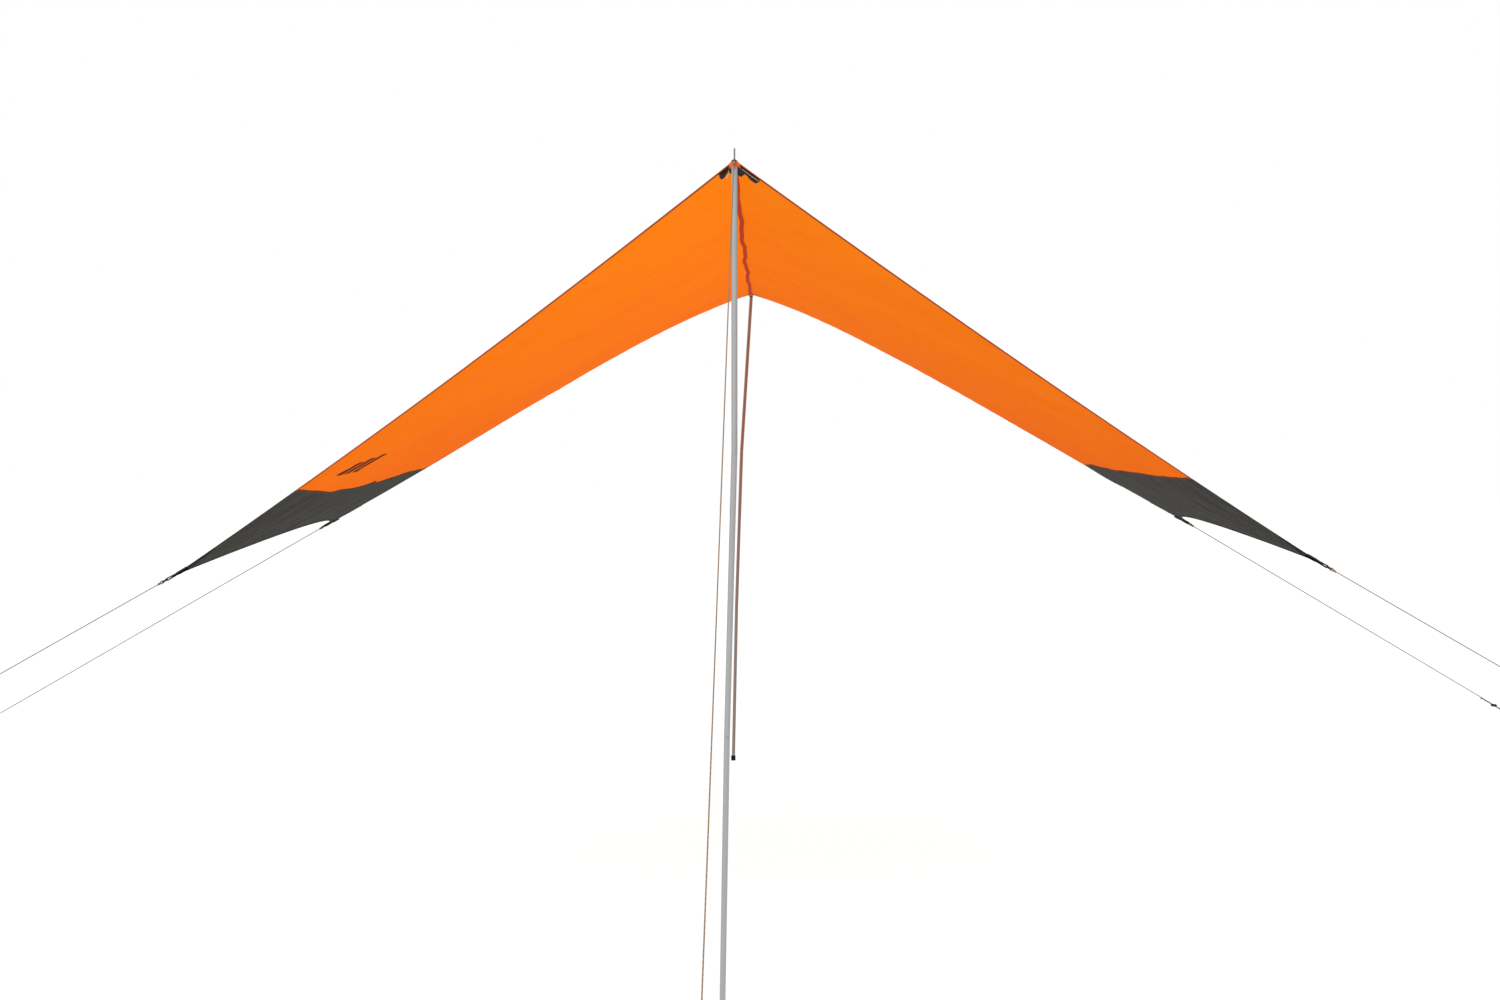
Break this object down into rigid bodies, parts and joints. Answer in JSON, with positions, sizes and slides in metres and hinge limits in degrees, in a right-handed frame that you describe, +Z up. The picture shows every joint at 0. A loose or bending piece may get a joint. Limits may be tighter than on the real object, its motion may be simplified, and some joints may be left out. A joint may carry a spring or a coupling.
{
  "type": "ridge tarp shelter",
  "caption": "Six-sided ridge tarp pitched in an A shape over two sectional poles, held out by guy lines with runners and pegs.",
  "frame": {"origin": "on the ground, midway between the two poles", "axes": "+Z up, +Y along the ridge from the near pole to the far pole, +X to the right as seen from the near end"},
  "size_m": [7.7645, 6.4631, 2.333],
  "materials": {
    "orange_cloth": "silicone coated ripstop nylon, satin, lets light through",
    "dark_cloth": "coated ripstop nylon, dull",
    "dark_webbing": "woven webbing and reinforcement cloth, dull",
    "edge_tape": "folded binding tape with two rows of stitching",
    "black_plastic": "moulded, satin",
    "steel": "drawn tube, satin",
    "bronzed_steel": "drawn tube, warm grey-brown, satin",
    "bright_steel": "turned or bent rod, bright",
    "brass": "rolled eyelet, satin",
    "orange_line": "braided cord, dull",
    "grey_line": "braided cord, dull"
  },
  "bodies": {
    "canopy": {"roof_panel_left": "orange_cloth", "side_panel_left": "dark_cloth", "edge_binding_near_left": "edge_tape", "edge_binding_far_left": "edge_tape", "edge_binding_side_left": "dark_webbing", "roof_panel_right": "orange_cloth", "side_panel_right": "dark_cloth", "edge_binding_near_right": "edge_tape", "edge_binding_far_right": "edge_tape", "edge_binding_side_right": "dark_webbing", "ridge_seam_tape": "edge_tape", "apex_patch_near": "dark_webbing", "ridge_tab_near": "dark_webbing", "eyelet_near": "brass", "ridge_ring_near": "black_plastic", "apex_patch_far": "dark_webbing", "ridge_tab_far": "dark_webbing", "eyelet_far": "brass", "ridge_ring_far": "black_plastic", "corner_tab_near_left": "dark_webbing", "corner_ring_near_left": "black_plastic", "corner_tab_near_right": "dark_webbing", "corner_ring_near_right": "black_plastic", "corner_tab_far_left": "dark_webbing", "corner_ring_far_left": "black_plastic", "corner_tab_far_right": "dark_webbing", "corner_ring_far_right": "black_plastic"},
    "near_pole_upper": {"near_pole_upper": "steel", "near_pole_tip": "bright_steel"},
    "near_pole_middle": {"near_pole_middle": "steel"},
    "near_pole_lower": {"near_pole_lower": "steel", "near_pole_foot": "black_plastic"},
    "far_pole_upper": {"far_pole_upper": "bronzed_steel", "far_pole_tip": "bright_steel"},
    "far_pole_middle": {"far_pole_middle": "bronzed_steel"},
    "far_pole_lower": {"far_pole_lower": "bronzed_steel", "far_pole_foot": "black_plastic"},
    "guy_near_left": {"guy_line_near_left": "orange_line", "peg_near_left": "bright_steel"},
    "runner_near_left": {"line_runner_near_left": "black_plastic"},
    "guy_near_right": {"guy_line_near_right": "orange_line", "peg_near_right": "bright_steel"},
    "runner_near_right": {"line_runner_near_right": "black_plastic"},
    "guy_far_left": {"guy_line_far_left": "grey_line", "peg_far_left": "bright_steel"},
    "runner_far_left": {"line_runner_far_left": "black_plastic"},
    "guy_far_right": {"guy_line_far_right": "grey_line", "peg_far_right": "bright_steel"},
    "runner_far_right": {"line_runner_far_right": "black_plastic"},
    "guy_front": {"guy_line_front": "orange_line", "peg_front": "bright_steel"},
    "runner_front": {"line_runner_front": "black_plastic"}
  },
  "joints": [
    {"name": "near_pole_swing", "type": "hinge", "parent": "canopy", "child": "near_pole_upper", "pos_m": [0, -2.2, 2.288], "axis": [1, 0, 0], "range_deg": [-6, 6]},
    {"name": "far_pole_swing", "type": "hinge", "parent": "canopy", "child": "far_pole_upper", "pos_m": [0, 2.2, 2.288], "axis": [1, 0, 0], "range_deg": [-6, 6]},
    {"name": "near_pole_middle_pull", "type": "slide", "parent": "near_pole_upper", "child": "near_pole_middle", "axis": [-0.0119, 0, -0.9999], "range_m": [0, 0.05]},
    {"name": "near_pole_lower_pull", "type": "slide", "parent": "near_pole_middle", "child": "near_pole_lower", "axis": [-0.0379, 0, -0.9993], "range_m": [0, 0.05]},
    {"name": "far_pole_middle_pull", "type": "slide", "parent": "far_pole_upper", "child": "far_pole_middle", "axis": [-0.0741, 0, -0.9973], "range_m": [0, 0.05]},
    {"name": "far_pole_lower_pull", "type": "slide", "parent": "far_pole_middle", "child": "far_pole_lower", "axis": [-0.0445, 0, -0.999], "range_m": [0, 0.05]},
    {"name": "guy_near_left_swing", "type": "hinge", "parent": "canopy", "child": "guy_near_left", "pos_m": [-1.885, -1.115, 1.13], "axis": [0, 0, 1], "range_deg": [-15, 15]},
    {"name": "guy_near_right_swing", "type": "hinge", "parent": "canopy", "child": "guy_near_right", "pos_m": [1.885, -1.115, 1.13], "axis": [0, 0, 1], "range_deg": [-15, 15]},
    {"name": "guy_far_left_swing", "type": "hinge", "parent": "canopy", "child": "guy_far_left", "pos_m": [-1.885, 1.115, 1.22], "axis": [0, 0, 1], "range_deg": [-15, 15]},
    {"name": "guy_far_right_swing", "type": "hinge", "parent": "canopy", "child": "guy_far_right", "pos_m": [1.92, 1.115, 1.188], "axis": [0, 0, 1], "range_deg": [-15, 15]},
    {"name": "guy_front_swing", "type": "hinge", "parent": "canopy", "child": "guy_front", "pos_m": [-0.00017, -2.26818, 2.28997], "axis": [0, 0, 1], "range_deg": [-15, 15]},
    {"name": "runner_near_left_slide", "type": "slide", "parent": "guy_near_left", "child": "runner_near_left", "axis": [-0.7774, -0.4168, -0.471], "range_m": [-0.07, 0.25]},
    {"name": "runner_near_right_slide", "type": "slide", "parent": "guy_near_right", "child": "runner_near_right", "axis": [0.7527, -0.4363, -0.4931], "range_m": [-0.07, 0.25]},
    {"name": "runner_far_left_slide", "type": "slide", "parent": "guy_far_left", "child": "runner_far_left", "axis": [-0.8303, 0.3533, -0.431], "range_m": [-0.07, 0.25]},
    {"name": "runner_far_right_slide", "type": "slide", "parent": "guy_far_right", "child": "runner_far_right", "axis": [0.8041, 0.3829, -0.4549], "range_m": [-0.07, 0.25]},
    {"name": "runner_front_slide", "type": "slide", "parent": "guy_front", "child": "runner_front", "axis": [-0.0217, -0.6561, -0.7543], "range_m": [-0.07, 0.25]}
  ]
}
